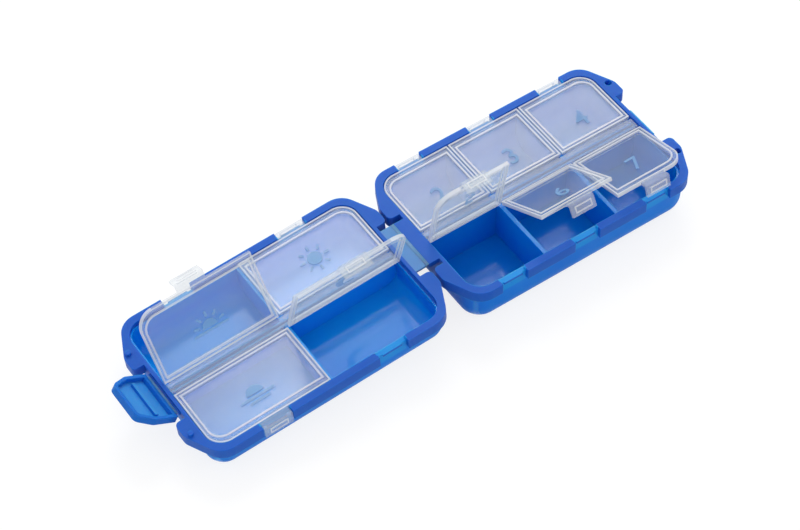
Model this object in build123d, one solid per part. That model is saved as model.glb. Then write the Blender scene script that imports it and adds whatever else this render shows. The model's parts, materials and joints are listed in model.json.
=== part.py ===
from build123d import *
import os
from math import asin, atan2, cos, degrees, hypot, radians, sin, tan

os.makedirs("parts", exist_ok=True)

# A folding pill case: a deep tray for six days and a shallow tray for four times of day,
# joined by a thin strap that folds, each closed by a set of lids on a common spine.
# Millimetres, +Z up. The origin is the middle of the day tray's underside, +X points to
# the day tray's free end, and the time tray lies on the -X side, sloping down to the table.

# ---------------------------------------------------------------- driving sizes
LID_FIELD = 84.0  # length of one tray's lid area, shared out among its columns
DAY_COLUMNS = 3
TIME_COLUMNS = 2
DAY_DEPTH = 18.2  # rim to underside
TIME_DEPTH = 13.2
DAY_BOTTOM_RADIUS = 7.5  # round along the outer bottom edges
TIME_BOTTOM_RADIUS = 6.5

LIP_HALF_WIDTH = 29.8  # outer face of the band round the rim
LIP_WIDTH = 2.6
LIP_HEIGHT = 4.2
LIP_CORNER = 7.0
EAR_REACH = 3.9  # how far the corner ears stand out from the end walls
EAR_SLANT = 5.9  # length along X of an ear's slanted edge
EAR_END = 12.0  # the ears stop this far from the middle line
EAR_SHOULDER = 17.5  # where an ear's slanted edge meets its end
EAR_CORNER = 1.6
EAR_BEND = 4.0
EAR_SKIN = 1.3  # top of an ear, over its hollow underside
EAR_SKIRT = 1.4  # outer edge of an ear
EAR_ROOT = 0.6  # inner edge of an ear, next to the wall
WALL = 1.8
END_WALL = 2.0
FLOOR = 1.3
LEDGE_DEPTH = 1.5  # the lids lie on a ledge this far below the rim
LEDGE_WIDTH = 0.8
DIVIDER = 1.4
MIDDLE_WALL = 2.2

LID_THICKNESS = 0.9
LID_CLEARANCE = 0.3
LID_END_GAP = 0.6
LID_GAP = 0.6  # between two lids of one row
LID_CORNER = 6.0  # free corners of a row's two end lids
BEAD_HEIGHT = 0.3
EDGE_BEAD_WIDTH = 0.5
WINDOW_BEAD_INSET = 1.2  # from the lid's edge
WINDOW_BEAD_SETBACK = 0.8  # further from the free edge, where the tab is
WINDOW_BEAD_WIDTH = 0.6
WINDOW_DEPTH = 0.25
SKIRT_INSET = 0.9  # a low skirt under the lid that fits into its compartment
SKIRT_WIDTH = 0.7
SKIRT_DROP = 0.3

SPINE_HALF_WIDTH = 1.85
TONGUE_WIDTH = 0.8
TONGUE_DEPTH = 1.4
TONGUE_CLEARANCE = 0.05
TONGUE_SETBACK = 0.6  # from the ends of the spine
TONGUE_END_CLEARANCE = 0.15

FILM_WIDTH = 1.0  # free width of a living hinge between its two edges
FILM_THICKNESS = 0.35
FILM_INSET = 1.2  # a lid's living hinge stops short of the lid's corners

DAY_TAB_WIDTH = 9.0
TIME_TAB_WIDTH = 10.0
TAB_THICKNESS = 1.0
TAB_DROP = 4.0  # below the lid's middle plane
TAB_SIDE_CLEARANCE = 0.3
TAB_PANEL = (6.4, 2.4)  # raised rectangle on the tab's outer face
TAB_PANEL_LINE = 0.45
TAB_PANEL_HEIGHT = 0.2
HOOK_WIDTH = 7.0
HOOK_CLEARANCE = 0.3  # from the hook to the tray's wall
HOOK_TOP = 2.6  # below the rim
HOOK_HEIGHT = 0.8
CATCH_CLEARANCE = 0.1  # from the catch to the tab
CATCH_HEIGHT = 0.7

STRAP_HALF_WIDTH = 9.8
PAD_THICKNESS = 2.0
STRAP_THICKNESS = 0.9
RIM_GAP = 0.3  # seam left between the two rims when the case is shut

OVERLAP = 0.5  # how far one feature runs into the next where they are joined
BEYOND = 1.0  # how far a cut runs out past the surface it opens

PEG_RADIUS = 0.9
PEG_HEIGHT = 1.0
PEG_CLEARANCE = 0.25
PEG_INSET = 2.1  # from the ends of the ears
PEG_SIDE = 18.2  # from the middle line

LATCH_LENGTH = 14.5
LATCH_HALF_WIDTH = 9.6
LATCH_TIP_HALF_WIDTH = 7.0
LATCH_SHOULDER = 8.5  # where the flap starts to narrow
LATCH_DEPTH = 2.7
LATCH_PLATE = 1.2
LATCH_RIM = 1.2
LATCH_CORNER = 2.5
LATCH_EDGE = 0.5  # bevel along the flap's outer bottom edges
LATCH_SHELF = 0.6
LATCH_AXIS_DEPTH = 1.6  # below the time tray's rim
LATCH_FILM_WIDTH = 0.8
LATCH_FILM_INSET = 0.8
RIDGE_THICKNESS = 1.2
RIDGE_HEIGHT = 1.0
RIDGE_HALF_WIDTH = 7.0
RIB_HALF_WIDTH = 6.1
RIB_REACH = 2.1
RIB_TOP = 2.4  # below the day tray's rim
RIB_HEIGHT = 1.2
RIB_BEVEL = 0.5
RIB_CLEARANCE = 0.3

# how far each lid and the latch stand open (degrees)
DAY_LIDS = {  # (row, column): (name, open angle); row 1 is the back row
    (1, 0): ("day_2", 0.0),
    (1, 1): ("day_3", 0.0),
    (1, 2): ("day_4", 0.0),
    (-1, 0): ("day_5", 80.0),
    (-1, 1): ("day_6", 32.0),
    (-1, 2): ("day_7", 16.0),
}
TIME_LIDS = {  # column 0 is next to the fold
    (1, 1): ("morning", 60.0),
    (1, 0): ("afternoon", 0.0),
    (-1, 1): ("evening", 0.0),
    (-1, 0): ("bedtime", 72.0),
}
LATCH_ANGLE = 35.0

# ---------------------------------------------------------------- worked-out sizes
FIELD_HALF = LID_FIELD / 2
LID_END = FIELD_HALF - LID_END_GAP
RECESS_END = LID_END + LID_CLEARANCE  # inner face of the lip
RECESS_SIDE = LIP_HALF_WIDTH - LIP_WIDTH
RECESS_CORNER = LID_CORNER + LID_CLEARANCE
LID_SIDE = RECESS_SIDE - LID_CLEARANCE
LID_TOP = -LEDGE_DEPTH + LID_THICKNESS
TAB_SIDE = LIP_HALF_WIDTH - TAB_THICKNESS  # inner face of the tabs
TONGUE_END = LID_END - TONGUE_SETBACK
CAVITY_END = RECESS_END - LEDGE_WIDTH
CAVITY_SIDE = RECESS_SIDE - LEDGE_WIDTH
WALL_END = CAVITY_END + END_WALL
WALL_SIDE = CAVITY_SIDE + WALL
EAR_X = WALL_END + EAR_REACH
HINGE_Y = SPINE_HALF_WIDTH + FILM_WIDTH / 2
HINGE_Z = -LEDGE_DEPTH + LID_THICKNESS / 2
FOLD_REACH = EAR_X + FILM_WIDTH / 2  # tray middle to the fold
PEG_X = EAR_X - PEG_INSET
RIB_BOTTOM = RIB_TOP + RIB_HEIGHT
LATCH_X = WALL_END + LATCH_SHELF + LATCH_FILM_WIDTH / 2

# The time tray's far bottom edge rests on the table, so it slopes down from the fold.
FOLD_Z = DAY_DEPTH + RIM_GAP / 2
REST_ARM = FOLD_REACH + WALL_END - TIME_BOTTOM_RADIUS
REST_DROP = RIM_GAP / 2 + TIME_DEPTH - TIME_BOTTOM_RADIUS
SLOPE = degrees(
    asin((FOLD_Z - TIME_BOTTOM_RADIUS) / hypot(REST_ARM, REST_DROP)) - atan2(REST_DROP, REST_ARM)
)


# ---------------------------------------------------------------- helpers
def slab(x0, x1, y0, y1, z0, z1):
    """A box given by its two corners."""
    return Pos((x0 + x1) / 2, (y0 + y1) / 2, (z0 + z1) / 2) * Box(x1 - x0, y1 - y0, z1 - z0)


def rounded_outline(corners, radii):
    """A closed outline with one radius for each corner."""
    return make_face(FilletPolyline(*corners, radius=radii, close=True))


def prism(face, bottom, top):
    """A face on the XY plane, extruded between two heights."""
    return Pos(0, 0, bottom) * extrude(face, top - bottom)


def column_centres(columns):
    """The middles of a tray's columns, from the fold outwards."""
    pitch = LID_FIELD / columns
    return [(i + 0.5) * pitch - FIELD_HALF for i in range(columns)]


# ---------------------------------------------------------------- trays
def lip_outline():
    """The rim seen from above: straight sides, slanted corner ears, a gap between the ears."""
    quarter = [
        (WALL_END, EAR_END, 0),
        (EAR_X, EAR_END, EAR_CORNER),
        (EAR_X, EAR_SHOULDER, EAR_BEND),
        (EAR_X - EAR_SLANT, LIP_HALF_WIDTH, LIP_CORNER),
    ]
    corners = list(quarter)
    corners += [(-x, y, r) for x, y, r in reversed(quarter)]
    corners += [(-x, -y, r) for x, y, r in quarter]
    corners += [(x, -y, r) for x, y, r in reversed(quarter)]
    return rounded_outline([(x, y) for x, y, r in corners], [r for x, y, r in corners])


def tray_shell(depth, bottom_radius):
    """Outer walls and the band round the rim, still solid inside."""
    walls = prism(RectangleRounded(2 * WALL_END, 2 * WALL_SIDE, bottom_radius), -depth, 0)
    walls = fillet(walls.edges().group_by(Axis.Z)[0], bottom_radius)
    return walls + prism(lip_outline(), -LIP_HEIGHT, 0)


def tray_hollow(depth, bottom_radius):
    """The space of the whole tray inside: lid recess on top, round-bottomed cavity below."""
    radius = bottom_radius - WALL
    outline = RectangleRounded(2 * CAVITY_END, 2 * CAVITY_SIDE, radius)
    cavity = prism(outline, FLOOR - depth, -LEDGE_DEPTH / 2)
    cavity = fillet(cavity.edges().group_by(Axis.Z)[0], radius)
    recess = RectangleRounded(2 * RECESS_END, 2 * RECESS_SIDE, RECESS_CORNER)
    return cavity + prism(recess, -LEDGE_DEPTH, BEYOND)


def tray_dividers(columns, depth):
    """The wall along the middle, with its groove for the lid spine, and the cross walls."""
    half = MIDDLE_WALL / 2
    plates = slab(-WALL_END, WALL_END, -half, half, FLOOR / 2 - depth, -LEDGE_DEPTH)
    pitch = LID_FIELD / columns
    for i in range(1, columns):
        x = i * pitch - FIELD_HALF
        plates += slab(
            x - DIVIDER / 2, x + DIVIDER / 2, -WALL_SIDE, WALL_SIDE, FLOOR / 2 - depth, -LEDGE_DEPTH
        )
    groove = TONGUE_WIDTH / 2 + TONGUE_CLEARANCE
    reach = TONGUE_END + TONGUE_END_CLEARANCE
    return plates - slab(
        -reach, reach, -groove, groove, -LEDGE_DEPTH - TONGUE_DEPTH - TONGUE_END_CLEARANCE, 0
    )


def tab_notches(columns, tab_width):
    """Gaps in the lip that the lid tabs drop through, on both long sides."""
    half = tab_width / 2 + TAB_SIDE_CLEARANCE
    cut = []
    for x in column_centres(columns):
        for side in (-1, 1):
            low, high = sorted((side * WALL_SIDE, side * (LIP_HALF_WIDTH + BEYOND)))
            cut.append(slab(x - half, x + half, low, high, -LIP_HEIGHT - BEYOND, BEYOND))
            low, high = sorted((side * (RECESS_SIDE - OVERLAP), side * (WALL_SIDE + OVERLAP)))
            cut.append(slab(x - half, x + half, low, high, -LEDGE_DEPTH, BEYOND))
    return Part() + cut


def tab_catches(columns):
    """Small ridges on the walls, inside the notches, that the tabs snap under."""
    ridges = []
    for x in column_centres(columns):
        for side in (-1, 1):
            low, high = sorted((side * (WALL_SIDE - OVERLAP), side * (TAB_SIDE - CATCH_CLEARANCE)))
            bottom = -LEDGE_DEPTH - CATCH_HEIGHT
            half = HOOK_WIDTH / 2
            ridges.append(slab(x - half, x + half, low, high, bottom, -LEDGE_DEPTH))
    return Part() + ridges


def ear_pockets():
    """The hollow undersides of the four ears."""
    middle = Rectangle(2 * (WALL_END + EAR_ROOT), 4 * LIP_HALF_WIDTH)
    inner = offset(lip_outline(), -EAR_SKIRT) - middle
    return prism(inner, -LIP_HEIGHT - BEYOND, -EAR_SKIN)


def tray(columns, depth, bottom_radius, tab_width):
    """One tray in its own frame: rim at Z 0, fold end at -X."""
    shell = tray_shell(depth, bottom_radius)
    dividers = tray_dividers(columns, depth) & shell
    body = shell - tray_hollow(depth, bottom_radius) + dividers
    body = body - ear_pockets() - tab_notches(columns, tab_width)
    return body + tab_catches(columns)


def fold_plate(thickness, drop):
    """The plate between the ears at the fold end, up to the living hinge."""
    end = -WALL_END + OVERLAP
    return slab(-EAR_X, end, -STRAP_HALF_WIDTH, STRAP_HALF_WIDTH, -drop - thickness, -drop)


def catch_rib():
    """The ridge on the day tray's free end that the latch flap hooks under."""
    profile = Polyline(
        (WALL_END - OVERLAP, -RIB_TOP),
        (WALL_END + RIB_REACH - RIB_BEVEL, -RIB_TOP),
        (WALL_END + RIB_REACH, -RIB_TOP - RIB_BEVEL),
        (WALL_END + RIB_REACH, -RIB_BOTTOM),
        (WALL_END - OVERLAP, -RIB_BOTTOM),
        close=True,
    )
    return extrude(Plane.XZ * make_face(profile), RIB_HALF_WIDTH, both=True)


def peg_holes():
    """Holes in the day tray's free ears for the pegs of the other tray."""
    hole = Cylinder(PEG_RADIUS + PEG_CLEARANCE, 4 * EAR_SKIN)
    return Part() + [Pos(PEG_X, side * PEG_SIDE, 0) * hole for side in (-1, 1)]


def pegs():
    """Pegs on the time tray's free ears."""
    peg = Pos(0, 0, (PEG_HEIGHT - EAR_SKIN) / 2) * Cylinder(PEG_RADIUS, PEG_HEIGHT + EAR_SKIN)
    return Part() + [Pos(PEG_X, side * PEG_SIDE, 0) * peg for side in (-1, 1)]


def latch_shelf():
    """The short shelf on the time tray's free end that carries the latch's living hinge."""
    half = STRAP_HALF_WIDTH - LATCH_FILM_INSET
    low, high = -LATCH_AXIS_DEPTH - FILM_THICKNESS, -LATCH_AXIS_DEPTH + FILM_THICKNESS
    return slab(WALL_END - OVERLAP, WALL_END + LATCH_SHELF, -half, half, low, high)


def day_tray():
    body = tray(DAY_COLUMNS, DAY_DEPTH, DAY_BOTTOM_RADIUS, DAY_TAB_WIDTH)
    return body + fold_plate(PAD_THICKNESS, 0) + catch_rib() - peg_holes()


def time_tray():
    body = tray(TIME_COLUMNS, TIME_DEPTH, TIME_BOTTOM_RADIUS, TIME_TAB_WIDTH)
    return body + fold_plate(STRAP_THICKNESS, 0) + latch_shelf() + pegs()


# ---------------------------------------------------------------- lid sets
def lid_spine():
    """The fixed strip down the middle of a lid set, with a tongue for the groove below it."""
    half = SPINE_HALF_WIDTH
    strip = slab(-LID_END, LID_END, -half, half, -LEDGE_DEPTH, LID_TOP)
    half = TONGUE_WIDTH / 2
    tongue = slab(-TONGUE_END, TONGUE_END, -half, half, -LEDGE_DEPTH - TONGUE_DEPTH, -LEDGE_DEPTH)
    return strip + tongue


def lid_span(columns, column):
    """The two ends of a lid along X, and the radius of its free corner at each end."""
    pitch = LID_FIELD / columns
    left, right = column * pitch - FIELD_HALF, (column + 1) * pitch - FIELD_HALF
    first, last = column == 0, column == columns - 1
    x0 = left + (LID_END_GAP if first else LID_GAP / 2)
    x1 = right - (LID_END_GAP if last else LID_GAP / 2)
    return x0, x1, LID_CORNER if first else 0, LID_CORNER if last else 0


def lid_outline(columns, column, inset=0.0, setback=0.0):
    """A back-row lid from above, drawn in all round, and further at its free edge."""
    x0, x1, r0, r1 = lid_span(columns, column)
    left, right = x0 + inset, x1 - inset
    low, high = SPINE_HALF_WIDTH + FILM_WIDTH + inset, LID_SIDE - inset - setback
    corners = [(left, low), (right, low), (right, high), (left, high)]
    return rounded_outline(corners, [0, 0, max(r1 - inset, 0), max(r0 - inset, 0)])


def lid_band(columns, column, inset, setback, width):
    """A closed band that follows a lid's outline."""
    outer = lid_outline(columns, column, inset, setback)
    return outer - lid_outline(columns, column, inset + width, setback)


def lid_plate(columns, column):
    """A back-row lid, closed: a plate with two beads round a sunk window, and a skirt below."""
    plate = prism(lid_outline(columns, column), -LEDGE_DEPTH, LID_TOP)
    inset, setback = WINDOW_BEAD_INSET, WINDOW_BEAD_SETBACK
    beads = lid_band(columns, column, 0, 0, EDGE_BEAD_WIDTH)
    beads += lid_band(columns, column, inset, setback, WINDOW_BEAD_WIDTH)
    plate += prism(beads, LID_TOP, LID_TOP + BEAD_HEIGHT)
    skirt = lid_band(columns, column, SKIRT_INSET, 0, SKIRT_WIDTH)
    plate += prism(skirt, -LEDGE_DEPTH - SKIRT_DROP, -LEDGE_DEPTH)
    window = lid_outline(columns, column, inset + WINDOW_BEAD_WIDTH, setback)
    return plate - prism(window, LID_TOP - WINDOW_DEPTH, LID_TOP)


def lid_tab(width):
    """The snap tab of a back-row lid, centred on X 0."""
    half = width / 2
    bottom = HINGE_Z - TAB_DROP
    bridge = slab(-half, half, LID_SIDE - OVERLAP, LIP_HALF_WIDTH, -LEDGE_DEPTH, LID_TOP)
    drop = slab(-half, half, TAB_SIDE, LIP_HALF_WIDTH, bottom, LID_TOP)
    tab = bridge + drop
    tab = fillet(tab.edges().filter_by(Axis.X).sort_by(Axis.Z)[-1:], LID_THICKNESS / 2)
    half = HOOK_WIDTH / 2
    start, end = WALL_SIDE + HOOK_CLEARANCE, TAB_SIDE + OVERLAP
    hook = slab(-half, half, start, end, -HOOK_TOP - HOOK_HEIGHT, -HOOK_TOP)
    wide, tall = TAB_PANEL
    line = Rectangle(wide, tall) - Rectangle(wide - 2 * TAB_PANEL_LINE, tall - 2 * TAB_PANEL_LINE)
    panel = Pos(0, LIP_HALF_WIDTH, (bottom + LID_TOP) / 2) * extrude(Plane.XZ * line, -TAB_PANEL_HEIGHT)
    return tab + hook + panel


def film(angle, width, thickness, x0, x1):
    """A living hinge bent to an angle, from Y -width/2 to a lid edge, about the X axis."""
    half = width / 2
    if angle == 0:
        return slab(x0, x1, -half, half, -thickness / 2, thickness / 2)
    radius = half / tan(radians(angle) / 2)
    outer, inner = radius + thickness / 2, radius - thickness / 2
    bend, middle = radians(angle), radians(angle) / 2

    def at(r, turn):
        return (-half + r * sin(turn), radius - r * cos(turn))

    section = make_face(
        [
            ThreePointArc(at(outer, 0), at(outer, middle), at(outer, bend)),
            Line(at(outer, bend), at(inner, bend)),
            ThreePointArc(at(inner, bend), at(inner, middle), at(inner, 0)),
            Line(at(inner, 0), at(outer, 0)),
        ]
    )
    return Pos(x0, 0, 0) * extrude(Plane.YZ * section, x1 - x0)


def opened(solid, row, angle):
    """Turn a closed back-row piece to its open angle, and mirror it for the front row."""
    turned = solid.rotate(Axis((0, HINGE_Y, HINGE_Z), (1, 0, 0)), angle)
    return turned if row > 0 else mirror(turned, about=Plane.XZ)


def lid_set(columns, tab_width, lids):
    """The spine, the lids and their living hinges of one tray, in the tray's own frame."""
    pieces = {}
    centres = column_centres(columns)
    for (row, column), (name, angle) in lids.items():
        lid = lid_plate(columns, column) + Pos(centres[column], 0, 0) * lid_tab(tab_width)
        pieces[name + "_lid"] = opened(lid, row, angle)
        x0, x1, _, _ = lid_span(columns, column)
        strip = film(angle, FILM_WIDTH, FILM_THICKNESS, x0 + FILM_INSET, x1 - FILM_INSET)
        pieces[name + "_lid_hinge"] = opened(Pos(0, HINGE_Y, HINGE_Z) * strip, row, 0)
    return pieces


# ---------------------------------------------------------------- latch
def latch_flap():
    """The latch laid flat, its hinge axis on the Y axis: a shallow pan with a hooking ridge."""
    half, tip = LATCH_HALF_WIDTH, LATCH_TIP_HALF_WIDTH
    start = LATCH_FILM_WIDTH / 2
    outline = rounded_outline(
        [
            (start, -half),
            (LATCH_SHOULDER, -half),
            (LATCH_LENGTH, -tip),
            (LATCH_LENGTH, tip),
            (LATCH_SHOULDER, half),
            (start, half),
        ],
        [0, LATCH_CORNER, LATCH_CORNER, LATCH_CORNER, LATCH_CORNER, 0],
    )
    floor = LATCH_PLATE - LATCH_DEPTH
    pan = prism(outline, -LATCH_DEPTH, FILM_THICKNESS / 2)
    pan = chamfer(pan.edges().group_by(Axis.Z)[0], LATCH_EDGE)
    pan -= prism(offset(outline, -LATCH_RIM), floor, BEYOND)
    ridge = RIM_GAP + LATCH_AXIS_DEPTH + RIB_BOTTOM + RIB_CLEARANCE
    low, high = floor - OVERLAP, floor + RIDGE_HEIGHT
    half = RIDGE_HALF_WIDTH
    return pan + slab(ridge, ridge + RIDGE_THICKNESS, -half, half, low, high)


def latch_pieces():
    """The latch flap and its living hinge at the open angle, in the time tray's own frame."""
    place = Pos(LATCH_X, 0, -LATCH_AXIS_DEPTH)
    half = STRAP_HALF_WIDTH - 2 * LATCH_FILM_INSET
    strip = film(LATCH_ANGLE, LATCH_FILM_WIDTH, FILM_THICKNESS, -half, half)
    return {
        "latch_flap": place * Rot(0, -LATCH_ANGLE, 0) * latch_flap(),
        "latch_hinge": place * Rot(0, 0, -90) * strip,
    }


# ---------------------------------------------------------------- assembly
def on_day_side(solid):
    """From the day tray's own frame to the part's frame."""
    return Pos(0, 0, DAY_DEPTH) * solid


def on_time_side(solid):
    """From the time tray's own frame to the part's frame: mirrored, moved, sloped at the fold."""
    flat = Pos(-2 * FOLD_REACH, 0, DAY_DEPTH) * mirror(solid, about=Plane.YZ)
    return flat.rotate(Axis((-FOLD_REACH, 0, FOLD_Z), (0, 1, 0)), -SLOPE)


def fold_hinge():
    """The living hinge of the fold: a half on each tray, meeting on the line between them."""
    half = slab(-FOLD_REACH, -EAR_X, -STRAP_HALF_WIDTH, STRAP_HALF_WIDTH, -FILM_THICKNESS, 0)
    return on_day_side(half) + on_time_side(half)


def assembly():
    pieces = {"day_tray": on_day_side(day_tray()), "day_lid_spine": on_day_side(lid_spine())}
    for name, solid in lid_set(DAY_COLUMNS, DAY_TAB_WIDTH, DAY_LIDS).items():
        pieces[name] = on_day_side(solid)
    pieces["time_tray"] = on_time_side(time_tray())
    pieces["time_lid_spine"] = on_time_side(lid_spine())
    time_side = lid_set(TIME_COLUMNS, TIME_TAB_WIDTH, TIME_LIDS)
    time_side.update(latch_pieces())
    for name, solid in time_side.items():
        pieces[name] = on_time_side(solid)
    pieces["fold_hinge"] = fold_hinge()
    return pieces


for node, solid in assembly().items():
    export_step(solid, f"parts/{node}.step")
print(f"time tray slopes {SLOPE:.3f} degrees, fold at x {-FOLD_REACH:.3f} z {FOLD_Z:.3f}")
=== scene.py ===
import json
from math import cos, pi, radians, sin, tan

import bpy
from mathutils import Matrix, Vector

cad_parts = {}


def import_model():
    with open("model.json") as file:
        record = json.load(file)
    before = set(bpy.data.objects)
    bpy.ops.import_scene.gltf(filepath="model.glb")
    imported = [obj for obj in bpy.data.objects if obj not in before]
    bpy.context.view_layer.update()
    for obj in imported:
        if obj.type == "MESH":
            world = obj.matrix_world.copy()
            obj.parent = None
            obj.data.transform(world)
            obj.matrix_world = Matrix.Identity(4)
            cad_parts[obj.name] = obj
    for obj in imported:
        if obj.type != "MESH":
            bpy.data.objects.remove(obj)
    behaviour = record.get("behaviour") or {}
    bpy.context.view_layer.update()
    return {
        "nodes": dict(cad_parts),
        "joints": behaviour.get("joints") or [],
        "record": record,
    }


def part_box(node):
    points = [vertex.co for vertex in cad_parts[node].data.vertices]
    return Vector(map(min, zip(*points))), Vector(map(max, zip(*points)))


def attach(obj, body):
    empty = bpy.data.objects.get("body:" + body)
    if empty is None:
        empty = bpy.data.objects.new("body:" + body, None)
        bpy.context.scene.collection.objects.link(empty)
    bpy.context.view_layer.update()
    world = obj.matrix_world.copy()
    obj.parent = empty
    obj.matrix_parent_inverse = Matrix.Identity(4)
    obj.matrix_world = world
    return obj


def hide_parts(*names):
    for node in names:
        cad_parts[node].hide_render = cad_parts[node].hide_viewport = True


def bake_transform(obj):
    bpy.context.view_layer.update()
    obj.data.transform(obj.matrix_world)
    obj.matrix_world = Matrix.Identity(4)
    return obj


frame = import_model()
joints = {joint["name"]: joint for joint in frame["joints"]}

# Metres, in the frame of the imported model. The sizes below repeat those of its source.
MM = 0.001
DAY_LIDS = {"day_2": "2", "day_3": "3", "day_4": "4", "day_5": "5", "day_6": "6", "day_7": "7"}
TIME_LIDS = ("morning", "afternoon", "evening", "bedtime")
DAY_PITCH = 28 * MM  # from lid to lid
TIME_PITCH = 42 * MM
FIELD_HALF = 42 * MM
LID_THICKNESS = 0.9 * MM
LID_INNER = 0.5 * MM  # hinge axis to the lid's near edge
LID_REACH = 24.55 * MM  # hinge axis to the lid's free edge
WINDOW_DEPTH = 0.25 * MM
WINDOW_SIDE = 1.5 * MM  # between the lid's edge and the inside of its beads
TAB_LINE_HEIGHT = 0.2 * MM  # the raised line on a tab's outer face
FILM_WIDTH = 1.0 * MM
FILM_THICKNESS = 0.35 * MM
LATCH_FILM_WIDTH = 0.8 * MM
LATCH_OPEN = radians(35)
STRAP_HALF_WIDTH = 9.8 * MM
RIM = 18.2 * MM  # height of the day tray's rim
WALL_SIDE = 28.2 * MM  # outer face of the long walls
WALL_END = 42.9 * MM
EAR_X = 46.8 * MM
CAVITY_SIDE = 26.4 * MM
CAVITY_END = 40.9 * MM
LIP_HEIGHT = 4.2 * MM
LEDGE_DEPTH = 1.5 * MM
NOTCH_DEPTH = 5.2 * MM
DAY_NOTCH = 4.8 * MM  # half the length of a tab's notch
TIME_NOTCH = 5.3 * MM
RIB_HALF_WIDTH = 6.1 * MM
FILM_STEPS = 12
MARK_HEIGHT = 0.12 * MM
NUMBER_SIZE = 9.4 * MM
NUMBER_WEIGHT = 0.03 * MM
NUMBER_SHIFT = 0.4 * MM  # along the lid, off its middle
BACK_NUMBER_REACH = 9.0 * MM  # hinge axis to a number's middle
FRONT_NUMBER_REACH = 15.1 * MM
TIME_MARK_REACH = 12.0 * MM

# linear colours of the trays
WALL_BLUES = ((0.001, 0.19, 0.74), (0.002, 0.23, 0.80))
LIP_BLUE = (0.006, 0.115, 0.56)
DAY_INSIDE_BLUE = (0.001, 0.23, 0.74)
# painted glow: the time tray's inside is lightened for light shining in through its thin walls
TIME_INSIDE_PAINTED_GLOW = (0.004, 0.30, 0.84)
# painted glow: light shining through the thin wall behind each tab
NOTCH_PAINTED_GLOW = (0.006, 0.32, 0.80)
STRAP_BLUE = (0.11, 0.29, 0.63)
RIB_BLUE = (0.05, 0.40, 0.78)

# light: each pair is what lights the object and what is seen
FLOOR_SHADE = (0.8, 0.22)
FLOOR_GLOW = (0.0, 0.82)
FLOOR_REACH = 3.0
FLOOR_DROP = 0.2 * MM  # keeps it off the undersides
SKY = (0.75, 1.0)
KEY_PLACE = (0.326, 0.576, 0.876)
KEY_AIM = (-0.05, 0, 0.018)
KEY_SIZE = (0.56, 0.40)
KEY_POWER = 3.6  # watts

# camera
CAMERA_PLACE = (-0.3131, -0.4027, 0.6184)
CAMERA_AIM = (-0.0465, 0.0071, 0.0)
CAMERA_ROLL = -1.89  # degrees
CAMERA_LENS = 110.99  # mm on a 36 mm sensor

fold = Vector(joints["fold_swing"]["pos_m"])
slope_axis = Vector(joints["afternoon_swing"]["axis"])
SLOPE = abs(slope_axis.z / slope_axis.x)  # the time tray's slope, as a tangent


# ---------------------------------------------------------------- node helpers
def material(name):
    """A new node material: its nodes, its links and its shader."""
    made = bpy.data.materials.new(name)
    made.use_nodes = True
    return made, made.node_tree.nodes, made.node_tree.links, made.node_tree.nodes["Principled BSDF"]


def calc(nodes, links, operation, first, second=0.0, clamp=False):
    """One step of arithmetic on sockets or numbers."""
    node = nodes.new("ShaderNodeMath")
    node.operation = operation
    node.use_clamp = clamp
    for socket, value in zip(node.inputs, (first, second)):
        if isinstance(value, (int, float)):
            socket.default_value = value
        else:
            links.new(value, socket)
    return node.outputs[0]


def noise(nodes, links, scale, detail=2.0):
    """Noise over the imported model's own coordinates, in cells per metre."""
    place = nodes.new("ShaderNodeTexCoord")
    texture = nodes.new("ShaderNodeTexNoise")
    texture.inputs["Scale"].default_value = scale
    texture.inputs["Detail"].default_value = detail
    links.new(place.outputs["Object"], texture.inputs["Vector"])
    return texture.outputs["Fac"]


def ramp(nodes, links, factor, stops):
    """A colour ramp: stops are (place, colour)."""
    node = nodes.new("ShaderNodeValToRGB")
    while len(node.color_ramp.elements) < len(stops):
        node.color_ramp.elements.new(0.5)
    for element, (place, colour) in zip(node.color_ramp.elements, stops):
        element.position = place
        element.color = (*colour, 1)
    links.new(factor, node.inputs["Fac"])
    return node.outputs["Color"]


def blend_colour(nodes, links, factor, first, second):
    """A colour between two others."""
    node = nodes.new("ShaderNodeMix")
    node.data_type = "RGBA"
    for name, value in (("Factor", factor), ("A", first), ("B", second)):
        kind = "VALUE" if name == "Factor" else "RGBA"
        socket = next(s for s in node.inputs if s.name == name and s.type == kind)
        if isinstance(value, tuple):
            socket.default_value = (*value, 1)
        else:
            links.new(value, socket)
    return next(s for s in node.outputs if s.type == "RGBA")


def spread(nodes, links, factor, low, high):
    """A 0 to 1 value spread between two others."""
    node = nodes.new("ShaderNodeMapRange")
    node.inputs["To Min"].default_value = low
    node.inputs["To Max"].default_value = high
    links.new(factor, node.inputs["Value"])
    return node.outputs["Result"]


def relief(nodes, links, shader, height, distance, edge):
    """A fine moulded relief over softly rounded edges."""
    bevel = nodes.new("ShaderNodeBevel")
    bevel.samples = 4
    bevel.inputs["Radius"].default_value = edge
    bump = nodes.new("ShaderNodeBump")
    bump.inputs["Strength"].default_value = 0.35
    bump.inputs["Distance"].default_value = distance
    links.new(height, bump.inputs["Height"])
    links.new(bevel.outputs["Normal"], bump.inputs["Normal"])
    links.new(bump.outputs["Normal"], shader.inputs["Normal"])


def tray_place(nodes, links, time_side):
    """Coordinates in a tray's own frame, rim at 0 and fold end at -X: x, y, z sockets."""
    place = nodes.new("ShaderNodeTexCoord")
    split = nodes.new("ShaderNodeSeparateXYZ")
    links.new(place.outputs["Object"], split.inputs[0])
    x, y, z = split.outputs
    if not time_side:
        return x, y, calc(nodes, links, "SUBTRACT", z, RIM)
    out = calc(nodes, links, "SUBTRACT", fold.x, x)
    drop = calc(nodes, links, "MULTIPLY", out, SLOPE)
    up = calc(nodes, links, "ADD", calc(nodes, links, "SUBTRACT", z, fold.z), drop)
    return calc(nodes, links, "SUBTRACT", out, -fold.x), y, up


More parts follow.
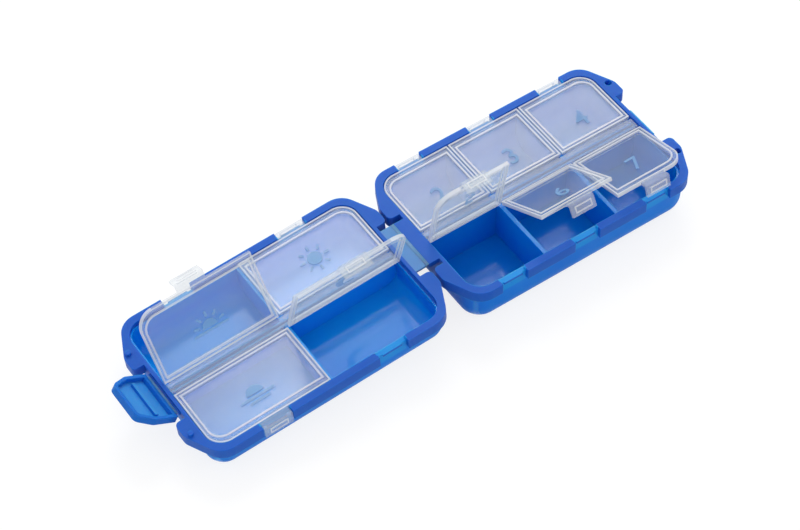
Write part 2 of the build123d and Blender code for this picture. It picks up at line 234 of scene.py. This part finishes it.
def within(nodes, links, value, middle, half, soft):
    """1 where a value is within a distance of another, falling off softly outside."""
    away = calc(nodes, links, "ABSOLUTE", calc(nodes, links, "SUBTRACT", value, middle))
    over = calc(nodes, links, "DIVIDE", calc(nodes, links, "SUBTRACT", half + soft, away), soft)
    return calc(nodes, links, "MULTIPLY", over, 1.0, clamp=True)


def both(nodes, links, first, second):
    """The product of two 0 to 1 values."""
    return calc(nodes, links, "MULTIPLY", first, second)


# ---------------------------------------------------------------- materials
def tray_parts(nodes, links, time_side):
    """0 to 1 values for a tray's inside, rim band, tab notches (where glow is painted) and end
    tongue.
    """
    x, y, z = tray_place(nodes, links, time_side)
    side, end = calc(nodes, links, "ABSOLUTE", y), calc(nodes, links, "ABSOLUTE", x)
    edge, tongue_edge = 0.15 * MM, 0.1 * MM
    half_depth = 20 * MM  # half of a depth that passes both trays' floors
    inside = both(
        nodes, links,
        within(nodes, links, end, 0, CAVITY_END + edge, edge),
        within(nodes, links, side, 0, CAVITY_SIDE + edge, edge),
    )
    below = within(nodes, links, z, -half_depth - LEDGE_DEPTH, half_depth, edge)
    inside = both(nodes, links, inside, below)
    rim = within(nodes, links, z, 0, LIP_HEIGHT, edge)
    pitch, notch = (TIME_PITCH, TIME_NOTCH) if time_side else (DAY_PITCH, DAY_NOTCH)
    cell = calc(nodes, links, "MODULO", calc(nodes, links, "ADD", x, FIELD_HALF), pitch)
    # painted glow where light shines through the thin wall behind each tab's notch
    web_glow = both(
        nodes, links,
        within(nodes, links, cell, pitch / 2, notch, 0.4 * MM),
        within(nodes, links, z, -NOTCH_DEPTH / 2, NOTCH_DEPTH / 2, 1.0 * MM),
    )
    wall = within(nodes, links, side, WALL_SIDE - 0.9 * MM, 1.1 * MM, 0.2 * MM)
    web_glow = both(nodes, links, web_glow, wall)
    middle, reach = (WALL_END + EAR_X) / 2, (EAR_X - WALL_END) / 2
    if time_side:
        tongue = within(nodes, links, x, -middle, reach, tongue_edge)
        width = within(nodes, links, y, 0, STRAP_HALF_WIDTH, tongue_edge)
    else:
        tongue = within(nodes, links, x, middle, reach - 0.3 * MM, tongue_edge)
        width = within(nodes, links, y, 0, RIB_HALF_WIDTH, tongue_edge)
    return inside, rim, web_glow, both(nodes, links, tongue, width)


def finish_blue(nodes, links, shader, rough, depth):
    """What every blue piece shares: soft gloss, light that enters a little, and fine relief."""
    links.new(rough, shader.inputs["Roughness"])
    shader.inputs["IOR"].default_value = 1.49
    shader.inputs["Specular IOR Level"].default_value = 0.24
    shader.inputs["Subsurface Weight"].default_value = 0.6
    shader.inputs["Subsurface Radius"].default_value = (0.05, 0.7, 1.0)
    shader.inputs["Subsurface Scale"].default_value = depth
    relief(nodes, links, shader, noise(nodes, links, 2500, 1), 0.02 * MM, 0.3 * MM)


def tray_blue(name, time_side):
    """A tray's blue polypropylene: deep on the rim, brighter where the walls are thin; at the tab
    notches, and inside the time tray, that brightness is painted glow of light shining through.
    """
    made, nodes, links, shader = material(name)
    inside, rim, web_glow, tongue = tray_parts(nodes, links, time_side)
    cloud = noise(nodes, links, 60, 3)
    colour = ramp(nodes, links, cloud, [(0.3, WALL_BLUES[0]), (0.7, WALL_BLUES[1])])
    # the inside shade of the time tray and the notch shade are painted glow of light passing through
    # thin walls
    for share, shade in (
        (rim, LIP_BLUE),
        (inside, TIME_INSIDE_PAINTED_GLOW if time_side else DAY_INSIDE_BLUE),
        (web_glow, NOTCH_PAINTED_GLOW),
        (tongue, STRAP_BLUE if time_side else RIB_BLUE),
    ):
        colour = blend_colour(nodes, links, share, colour, shade)
    links.new(colour, shader.inputs["Base Color"])
    grain = spread(nodes, links, noise(nodes, links, 300), 0.42, 0.54)
    smooth = spread(nodes, links, noise(nodes, links, 200), 0.10, 0.16)
    outside = calc(nodes, links, "SUBTRACT", 1.0, inside)
    grain, smooth = both(nodes, links, grain, outside), both(nodes, links, smooth, inside)
    rough = calc(nodes, links, "ADD", grain, smooth)
    finish_blue(nodes, links, shader, rough, 3.0 * MM)
    return made


def plain_blue(name, deep, bright, rough):
    """Thin moulded blue polypropylene of one shade."""
    made, nodes, links, shader = material(name)
    cloud = noise(nodes, links, 60, 3)
    links.new(ramp(nodes, links, cloud, [(0.3, deep), (0.7, bright)]), shader.inputs["Base Color"])
    rough = spread(nodes, links, noise(nodes, links, 300), rough * 0.8, rough * 1.2)
    finish_blue(nodes, links, shader, rough, 2.0 * MM)
    return made


def clear_plastic(name, tint, alpha, roughness, index, level):
    """Thin natural polypropylene: milky, glossy and see-through."""
    made, nodes, links, shader = material(name)
    cloud = noise(nodes, links, 90, 3)
    low = tuple(0.95 * c for c in tint)
    links.new(ramp(nodes, links, cloud, [(0.3, low), (0.7, tint)]), shader.inputs["Base Color"])
    rough = spread(nodes, links, noise(nodes, links, 400), roughness * 0.8, roughness * 1.2)
    links.new(rough, shader.inputs["Roughness"])
    shader.inputs["IOR"].default_value = index
    shader.inputs["Specular IOR Level"].default_value = level
    seen = spread(nodes, links, noise(nodes, links, 150), alpha * 0.9, alpha * 1.1)
    links.new(seen, shader.inputs["Alpha"])
    bump = nodes.new("ShaderNodeBump")
    bump.inputs["Strength"].default_value = 0.3
    bump.inputs["Distance"].default_value = 0.01 * MM
    links.new(noise(nodes, links, 1500, 1), bump.inputs["Height"])
    links.new(bump.outputs["Normal"], shader.inputs["Normal"])
    return made


BLUE_DAY = tray_blue("blue_case", False)
BLUE_TIME = tray_blue("blue_case_low", True)
BLUE_THIN = plain_blue("blue_strap", (0.14, 0.33, 0.66), (0.18, 0.37, 0.70), 0.4)
BLUE_LATCH = plain_blue("blue_latch", (0.030, 0.26, 0.70), (0.045, 0.31, 0.74), 0.5)
BLUE_LATCH_RIM = plain_blue("blue_latch_rim", (0.004, 0.15, 0.60), (0.006, 0.18, 0.66), 0.5)
RIM_CLEAR = clear_plastic(
    "frosted_lids", (0.84, 0.91, 0.95), alpha=0.25, roughness=0.30, index=1.5, level=0.5
)
# milkier where the plastic is thicker, and whiter as painted highlight lines along beads and edges
BEAD_CLEAR_AND_HIGHLIGHT = clear_plastic(
    "frosted_bead_and_highlight", (0.92, 0.95, 0.98), alpha=0.60, roughness=0.30, index=1.5, level=0.5
)
WINDOW_CLEAR = clear_plastic(
    "frosted_window", (0.66, 0.86, 0.97), alpha=0.13, roughness=0.14, index=2.1, level=0.8
)
MARK = clear_plastic(
    "lid_marks", (0.32, 0.58, 0.88), alpha=0.45, roughness=0.6, index=1.4, level=0.2
)


def open_plane(outward, up, angle):
    """A lid's directions when open by an angle: to its free edge, and off its outer face."""
    return outward * cos(angle) + up * sin(angle), up * cos(angle) - outward * sin(angle)


def is_level(face, normal):
    """Whether a face lies in the plane of its lid or latch."""
    return abs(face.normal.dot(normal)) > 0.99


def lid_faces(name, thing):
    """A lid's window takes the clearer finish, and its beads, edges and tab line the milkier, which
    also paints the bright highlight lines along them.
    """
    place, along, outward, up, angle = swing_frame(name)
    free, normal = open_plane(outward, up, angle)
    thing.data.materials.append(WINDOW_CLEAR)
    thing.data.materials.append(BEAD_CLEAR_AND_HIGHLIGHT)
    half = (TIME_PITCH if name in TIME_LIDS else DAY_PITCH) / 2
    farthest = max((vertex.co - place).dot(free) for vertex in thing.data.vertices)
    tab_face = farthest - 0.9 * TAB_LINE_HEIGHT
    skin = 0.6 * LID_THICKNESS  # past the lid's faces and short of its beads
    for face in thing.data.polygons:
        offset = face.center - place
        reach, side, height = offset.dot(free), abs(offset.dot(along)), offset.dot(normal)
        level = is_level(face, normal)
        inside = LID_INNER + WINDOW_SIDE < reach < LID_REACH - WINDOW_SIDE
        window = level and inside and side < half - WINDOW_SIDE and abs(height) < skin
        bead = level and height > skin
        edge = not level and height > -skin and reach < LID_REACH
        if window:
            face.material_index = 1
        elif bead or edge or reach > tab_face:
            face.material_index = 2


def latch_faces(thing):
    """The latch's raised rim and edges are thicker, and so deeper in colour, than its recess."""
    place, _, outward, up, angle = swing_frame("latch")
    _, normal = open_plane(outward, up, angle)
    top = max((vertex.co - place).dot(normal) for vertex in thing.data.vertices)
    thing.data.materials.append(BLUE_LATCH_RIM)
    for face in thing.data.polygons:
        height = (face.center - place).dot(normal)
        if not is_level(face, normal) or height > top - 0.1 * MM:
            face.material_index = 1


def dress_frame():
    """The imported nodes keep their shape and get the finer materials."""
    finish = {"blue_case": BLUE_DAY, "blue_strap": BLUE_THIN, "blue_latch": BLUE_LATCH}
    slots = {part["node"]: part["material_slot"] for part in frame["record"]["subparts"]}
    for node, thing in frame["nodes"].items():
        thing.data.materials.clear()
        thing.data.materials.append(finish.get(slots[node], RIM_CLEAR))
    frame["nodes"]["time_tray"].data.materials[0] = BLUE_TIME
    latch_faces(frame["nodes"]["latch_flap"])
    for name in (*DAY_LIDS, *TIME_LIDS):
        lid_faces(name, frame["nodes"][name + "_lid"])


# ---------------------------------------------------------------- pieces
def piece(name, vertices, faces, finish):
    """A new mesh object."""
    mesh = bpy.data.meshes.new(name)
    mesh.from_pydata(vertices, [], faces)
    mesh.update()
    mesh.materials.append(finish)
    thing = bpy.data.objects.new(name, mesh)
    bpy.context.scene.collection.objects.link(thing)
    return thing


def swing_frame(name):
    """A swing joint at rest: place, direction along it, outward, upward, and open angle."""
    joint = joints[name + "_swing"]
    place, axis = Vector(joint["pos_m"]), Vector(joint["axis"]).normalized()
    if name == "latch":
        outward = Vector((-abs(slope_axis.x), 0, -abs(slope_axis.z))).normalized()
        return place, axis, outward, axis.cross(outward), LATCH_OPEN
    row = 1 if place.y > 0 else -1
    outward = Vector((0, row, 0))
    return place, axis, outward, outward.cross(axis), radians(joint["range_deg"][1])


def bent_strip(name, centre_line, half_length, along, finish):
    """A film swept along a line of (point, spoke): thin in the middle, flared into both edges."""
    vertices, faces = [], []
    steps = len(centre_line) - 1
    for i, (point, spoke) in enumerate(centre_line):
        share = i / steps
        thick = FILM_THICKNESS * (0.8 + 1.1 * (2 * share - 1) ** 4) / 2
        for side, end in ((1, -1), (1, 1), (-1, 1), (-1, -1)):
            vertices.append(point - spoke * side * thick + along * end * half_length)
    for i in range(steps):
        for k in range(4):
            a, b = 4 * i + k, 4 * i + (k + 1) % 4
            faces.append((a, b, b + 4, a + 4))
    faces += [(3, 2, 1, 0), tuple(4 * steps + k for k in range(4))]
    strip = piece(name, vertices, faces, finish)
    for face in strip.data.polygons:
        face.use_smooth = True
    return strip


def film_piece(name, node, width, finish):
    """The living hinge of a lid or of the latch, bent to its angle at rest."""
    place, along, outward, up, angle = swing_frame(name)
    low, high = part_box(node)
    middle, half_length = place.copy(), (high.y - low.y) / 2
    if name != "latch":
        half_length = (high.x - low.x) / 2 / abs(along.x)
        middle = place + along * (((low.x + high.x) / 2 - place.x) / along.x)
    half = width / 2
    line = []
    for i in range(FILM_STEPS + 1):
        share = i / FILM_STEPS
        if angle > 0.001:
            radius, turn = half / tan(angle / 2), angle * share
            spoke = outward * sin(turn) - up * cos(turn)
            line.append((middle - outward * half + up * radius + spoke * radius, spoke))
        else:
            line.append((middle + outward * (share * width - half), -up))
    strip = bent_strip(name + "_film", line, half_length, along, finish)
    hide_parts(node)
    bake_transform(strip)


def fold_film():
    """The living hinge of the fold, whitened on the real case, drawn in the strap's blue."""
    half = FILM_WIDTH / 2
    down = Vector((-1, 0, -SLOPE)).normalized()
    line = []
    top = Vector((fold.x, fold.y, RIM))
    for i in range(FILM_STEPS + 1):
        share = i / FILM_STEPS
        point = top + Vector((half * (1 - 2 * share), 0, 0))
        if share > 0.5:
            point = top + down * half * (2 * share - 1)
        line.append((point - Vector((0, 0, FILM_THICKNESS / 2)), Vector((0, 0, -1))))
    strip = bent_strip("fold_film", line, STRAP_HALF_WIDTH, Vector((0, 1, 0)), BLUE_THIN)
    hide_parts("fold_hinge")
    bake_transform(strip)


# ---------------------------------------------------------------- raised marks
def disc(x, y, radius, start=0.0, turn=2 * pi, steps=40):
    """The outline of a disc, or of a part of one."""
    count = steps if turn >= 2 * pi else steps + 1
    return [
        (x + radius * cos(start + turn * i / steps), y + radius * sin(start + turn * i / steps))
        for i in range(count)
    ]


def bar(x0, y0, x1, y1, width):
    """A straight bar between two points."""
    line = Vector((x1 - x0, y1 - y0)).normalized() * width / 2
    return [
        (x0 + line.y, y0 - line.x),
        (x1 + line.y, y1 - line.x),
        (x1 - line.y, y1 + line.x),
        (x0 - line.y, y0 + line.x),
    ]


def rays(x, y, inner, outer, width, start, turn, count):
    """Bars that point away from a centre."""
    made = []
    for i in range(count):
        angle = start + turn * i / (count if turn >= 2 * pi else count - 1)
        c, s = cos(angle), sin(angle)
        made.append(bar(x + inner * c, y + inner * s, x + outer * c, y + outer * s, width))
    return made


def crescent(radius):
    """A waning moon."""
    outer = disc(0, 0, radius, radians(50), radians(260), 30)
    inner = disc(radius * 0.45, radius * 0.25, radius * 0.8, radians(278), radians(-215), 30)
    return outer + inner[1:-1]


def time_marks():
    """Plain outlines for the four times of day, in millimetres: rising, high and low sun, moon."""
    low, ray_width, line_width = -2.6, 0.7, 0.8
    rising = [disc(0, low, 2.6, 0, pi, 24), bar(-6, low - 1, 6, low - 1, ray_width)]
    rising += rays(0, low, 3.6, 5.4, ray_width, radians(15), radians(150), 5)
    high = [disc(0, 0, 2.5)] + rays(0, 0, 3.5, 5.2, ray_width, 0, 2 * pi, 8)
    sinking = [disc(0, low, 3.0, 0, pi, 24), bar(-6, low - 1.2, 6, low - 1.2, line_width)]
    sinking += [bar(-3.6, low - 2.8, 3.6, low - 2.8, line_width)]
    return {"morning": rising, "afternoon": high, "evening": sinking, "bedtime": [crescent(4.2)]}


def outline_mesh(name, outlines):
    """Flat outlines in millimetres, raised into one mesh."""
    vertices, faces = [], []
    for outline in outlines:
        start, count = len(vertices), len(outline)
        for z in (-MARK_HEIGHT, MARK_HEIGHT):
            vertices += [(x * MM, y * MM, z) for x, y in outline]
        faces.append(tuple(start + count + i for i in range(count)))
        faces.append(tuple(start + i for i in reversed(range(count))))
        for i in range(count):
            j = (i + 1) % count
            faces.append((start + i, start + j, start + count + j, start + count + i))
    mesh = bpy.data.meshes.new(name)
    mesh.from_pydata(vertices, [], faces)
    mesh.update()
    return mesh


def number_mesh(text):
    """A plain number, raised and centred."""
    curve = bpy.data.curves.new("number", "FONT")
    curve.body = text
    curve.size = NUMBER_SIZE
    curve.extrude = MARK_HEIGHT
    curve.offset = NUMBER_WEIGHT
    curve.align_x = "CENTER"
    curve.align_y = "CENTER"
    holder = bpy.data.objects.new("number", curve)
    mesh = bpy.data.meshes.new_from_object(holder)
    bpy.data.objects.remove(holder)
    return mesh


def lid_mark(name, mesh, reach, along):
    """Puts a raised mark on a lid's window, upright as seen from the front."""
    place, _, outward, up, angle = swing_frame(name)
    free, normal = open_plane(outward, up, angle)
    across = free if outward.y > 0 else -free
    mesh.materials.clear()
    mesh.materials.append(MARK)
    mark = bpy.data.objects.new(name + "_mark", mesh)
    bpy.context.scene.collection.objects.link(mark)
    rise = LID_THICKNESS / 2 - WINDOW_DEPTH + MARK_HEIGHT
    centre = place + free * reach + normal * rise + across.cross(normal) * along
    turn = Matrix((across.cross(normal), across, normal)).transposed().to_4x4()
    mark.data.transform(Matrix.Translation(centre) @ turn)
    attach(mark, name)


# ---------------------------------------------------------------- surroundings
def seen_as_white(nodes, links):
    """1 for the rays that show the surroundings, 0 for those that light the object."""
    path = nodes.new("ShaderNodeLightPath")
    seen = calc(nodes, links, "MAXIMUM", path.outputs["Is Camera Ray"], path.outputs["Is Glossy Ray"])
    return calc(nodes, links, "MAXIMUM", seen, path.outputs["Is Transmission Ray"])


def floor():
    """A plain pale floor that keeps the object's shadow."""
    signs = ((-1, -1), (1, -1), (1, 1), (-1, 1))
    corners = [(x * FLOOR_REACH, y * FLOOR_REACH, 0) for x, y in signs]
    made, nodes, links, shader = material("floor")
    shader.inputs["Roughness"].default_value = 0.7
    shader.inputs["Specular IOR Level"].default_value = 0.1
    shader.inputs["Emission Color"].default_value = (1, 1, 1, 1)
    seen = seen_as_white(nodes, links)
    links.new(spread(nodes, links, seen, *FLOOR_SHADE), shader.inputs["Base Color"])
    links.new(spread(nodes, links, seen, *FLOOR_GLOW), shader.inputs["Emission Strength"])
    thing = piece("floor", corners, [(0, 1, 2, 3)], made)
    thing.location.z = -FLOOR_DROP


def world():
    """White where it is seen, and an even soft light."""
    made = bpy.data.worlds.new("studio")
    made.use_nodes = True
    nodes, links = made.node_tree.nodes, made.node_tree.links
    background = nodes["Background"]
    background.inputs["Color"].default_value = (1, 1, 1, 1)
    seen = seen_as_white(nodes, links)
    links.new(spread(nodes, links, seen, *SKY), background.inputs["Strength"])
    bpy.context.scene.world = made


def lamp(name, place, aim, size, power):
    """A soft lamp, with its width and height."""
    data = bpy.data.lights.new(name, "AREA")
    data.shape = "RECTANGLE"
    data.size, data.size_y = size
    data.energy = power
    thing = bpy.data.objects.new(name, data)
    thing.location = place
    thing.rotation_euler = (Vector(aim) - Vector(place)).to_track_quat("-Z", "Y").to_euler()
    bpy.context.scene.collection.objects.link(thing)


def camera():
    """The photograph's view."""
    data = bpy.data.cameras.new("camera")
    data.sensor_width = 36
    data.lens = CAMERA_LENS
    thing = bpy.data.objects.new("camera", data)
    look = (Vector(CAMERA_AIM) - Vector(CAMERA_PLACE)).to_track_quat("-Z", "Y")
    turn = look.to_matrix().to_4x4() @ Matrix.Rotation(radians(CAMERA_ROLL), 4, "Z")
    thing.matrix_world = Matrix.Translation(CAMERA_PLACE) @ turn
    bpy.context.scene.collection.objects.link(thing)
    bpy.context.scene.camera = thing


# ---------------------------------------------------------------- the scene
dress_frame()
for lid_name, number_text in DAY_LIDS.items():
    film_piece(lid_name, lid_name + "_lid_hinge", FILM_WIDTH, RIM_CLEAR)
    back_row = lid_name in ("day_2", "day_3", "day_4")
    number_reach = BACK_NUMBER_REACH if back_row else FRONT_NUMBER_REACH
    lid_mark(lid_name, number_mesh(number_text), number_reach, NUMBER_SHIFT)
for lid_name, outlines in time_marks().items():
    film_piece(lid_name, lid_name + "_lid_hinge", FILM_WIDTH, RIM_CLEAR)
    lid_mark(lid_name, outline_mesh(lid_name + "_mark", outlines), TIME_MARK_REACH, 0.0)
film_piece("latch", "latch_hinge", LATCH_FILM_WIDTH, BLUE_THIN)
fold_film()
floor()
world()
lamp("key", KEY_PLACE, KEY_AIM, KEY_SIZE, KEY_POWER)
camera()
bpy.context.scene.view_settings.view_transform = "Standard"
